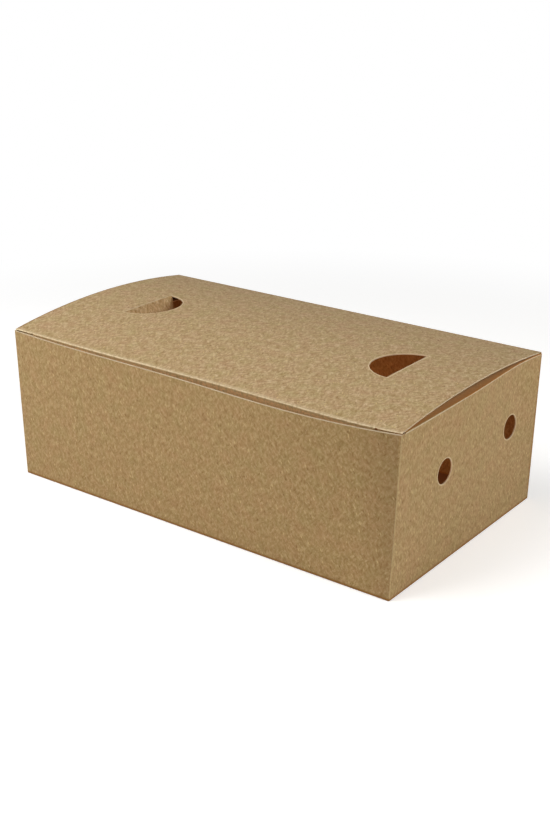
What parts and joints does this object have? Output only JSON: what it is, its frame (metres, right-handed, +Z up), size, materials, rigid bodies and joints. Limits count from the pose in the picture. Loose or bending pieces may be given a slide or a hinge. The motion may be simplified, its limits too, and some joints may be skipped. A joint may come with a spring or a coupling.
{
  "type": "takeaway snack box",
  "caption": "Folded kraft board food box with an arched tuck-in lid hinged at the back, push-in half-moon vents in the lid and round vents in the ends.",
  "frame": {"origin": "middle of the base's underside, on the surface that the box stands on", "axes": "+X along the box's long side to the right end, +Y from the front seam to the hinged back, +Z up"},
  "size_m": [0.1967, 0.114, 0.0711],
  "materials": {
    "kraft_board": "uncoated unbleached kraft board, matte, with visible fibres",
    "kraft_board_lid": "uncoated unbleached kraft board, matte, with visible fibres",
    "kraft_board_tabs": "uncoated unbleached kraft board, matte, with visible fibres"
  },
  "bodies": {
    "carton": {"carton": "kraft_board"},
    "lid": {"lid": "kraft_board_lid"},
    "left_vent_tab": {"left_vent_tab": "kraft_board_tabs"},
    "right_vent_tab": {"right_vent_tab": "kraft_board_tabs"}
  },
  "joints": [
    {"name": "lid_hinge", "type": "hinge", "parent": "carton", "child": "lid", "pos_m": [0, 0.05325, 0.06645], "axis": [-1, 0, 0], "range_deg": [0, 180]},
    {"name": "left_tab_hinge", "type": "hinge", "parent": "lid", "child": "left_vent_tab", "pos_m": [-0.06875, 0, 0.07015], "axis": [0, 1, 0], "range_deg": [-70, 20]},
    {"name": "right_tab_hinge", "type": "hinge", "parent": "lid", "child": "right_vent_tab", "pos_m": [0.06735, 0, 0.06925], "axis": [0, -1, 0], "range_deg": [-70, 20]}
  ]
}
